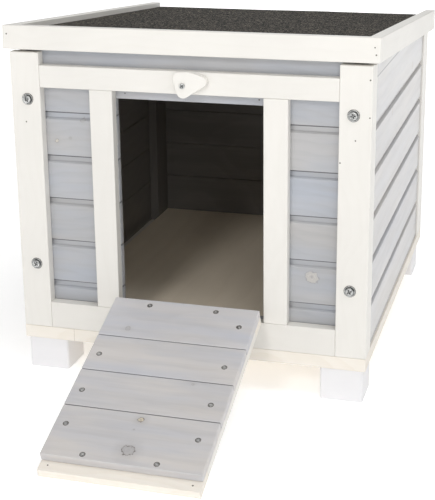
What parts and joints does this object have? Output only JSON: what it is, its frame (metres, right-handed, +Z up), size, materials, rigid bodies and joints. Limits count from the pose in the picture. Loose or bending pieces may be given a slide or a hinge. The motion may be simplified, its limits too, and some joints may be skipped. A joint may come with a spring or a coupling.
{
  "type": "rabbit hutch",
  "caption": "Small glazed wooden rabbit hutch with a hinged felted lid, a front doorway, a boarded ramp that folds up as its door, and a turn-button.",
  "frame": {"origin": "on the ground, at the middle of everything the hutch covers with its ramp down", "axes": "+X to the hutch's right seen from the front, +Y from the front to the back, +Z up"},
  "size_m": [0.414, 0.7328, 0.4024],
  "materials": {
    "white_glaze": "white glazed pine, satin",
    "grey_glaze": "light grey glazed pine, satin",
    "bare_pine": "pale untreated pine",
    "plywood": "thin plywood, matt",
    "roofing_felt": "mineral-surfaced bitumen felt, rough",
    "foot_plastic": "pale grey moulded plastic",
    "zinc_hardware": "zinc plated steel"
  },
  "bodies": {
    "hutch": {"foot_front_left": "foot_plastic", "foot_front_right": "foot_plastic", "foot_rear_left": "foot_plastic", "foot_rear_right": "foot_plastic", "plinth_front": "bare_pine", "plinth_rear": "bare_pine", "plinth_left": "bare_pine", "plinth_right": "bare_pine", "floor_panel": "plywood", "front_stile_left": "white_glaze", "front_stile_right": "white_glaze", "mullion_left": "white_glaze", "mullion_right": "white_glaze", "front_top_rail": "white_glaze", "front_bottom_rail": "white_glaze", "front_boards_left": "grey_glaze", "front_boards_right": "grey_glaze", "front_board_sill": "grey_glaze", "front_board_lintel": "grey_glaze", "side_stile_front_left": "white_glaze", "side_stile_front_right": "white_glaze", "side_stile_rear_left": "white_glaze", "side_stile_rear_right": "white_glaze", "side_top_rail_left": "white_glaze", "side_top_rail_right": "white_glaze", "side_boards_left": "grey_glaze", "side_boards_right": "grey_glaze", "rear_stile_left": "white_glaze", "rear_stile_right": "white_glaze", "rear_top_rail": "white_glaze", "rear_bottom_rail": "white_glaze", "rear_boards": "grey_glaze", "foot_screws": "zinc_hardware", "frame_screws": "zinc_hardware", "frame_washers": "zinc_hardware", "hinge_pins": "zinc_hardware", "hinge_screws": "zinc_hardware", "lid_hinge_wall_leaves": "zinc_hardware", "ramp_hinge_rail_leaves": "zinc_hardware", "button_screw": "zinc_hardware"},
    "lid": {"roof_panel": "plywood", "roof_felt": "roofing_felt", "lid_fascia_front": "white_glaze", "lid_fascia_left": "white_glaze", "lid_fascia_right": "white_glaze", "lid_rear_batten": "bare_pine", "lid_hinge_leaves": "zinc_hardware", "lid_hinge_screws": "zinc_hardware"},
    "ramp": {"ramp_board_1": "grey_glaze", "ramp_board_2": "grey_glaze", "ramp_board_3": "grey_glaze", "ramp_board_4": "grey_glaze", "ramp_batten_left": "white_glaze", "ramp_batten_right": "white_glaze", "ramp_crosspiece_top": "bare_pine", "ramp_crosspiece_foot": "bare_pine", "ramp_screws": "zinc_hardware", "ramp_hinge_leaves": "zinc_hardware"},
    "turn_button": {"turn_button": "white_glaze"}
  },
  "joints": [
    {"name": "lid_hinge", "type": "hinge", "parent": "hutch", "child": "lid", "pos_m": [0, 0.35505, 0.3366], "axis": [-1, 0, 0], "range_deg": [0, 95]},
    {"name": "ramp_hinge", "type": "hinge", "parent": "hutch", "child": "ramp", "pos_m": [0.002, -0.13015, 0.0835], "axis": [-1, 0, 0], "range_deg": [0, 110.32]},
    {"name": "button_turn", "type": "hinge", "parent": "hutch", "child": "turn_button", "pos_m": [0, -0.12755, 0.3455], "axis": [0, -1, 0], "continuous": true}
  ]
}
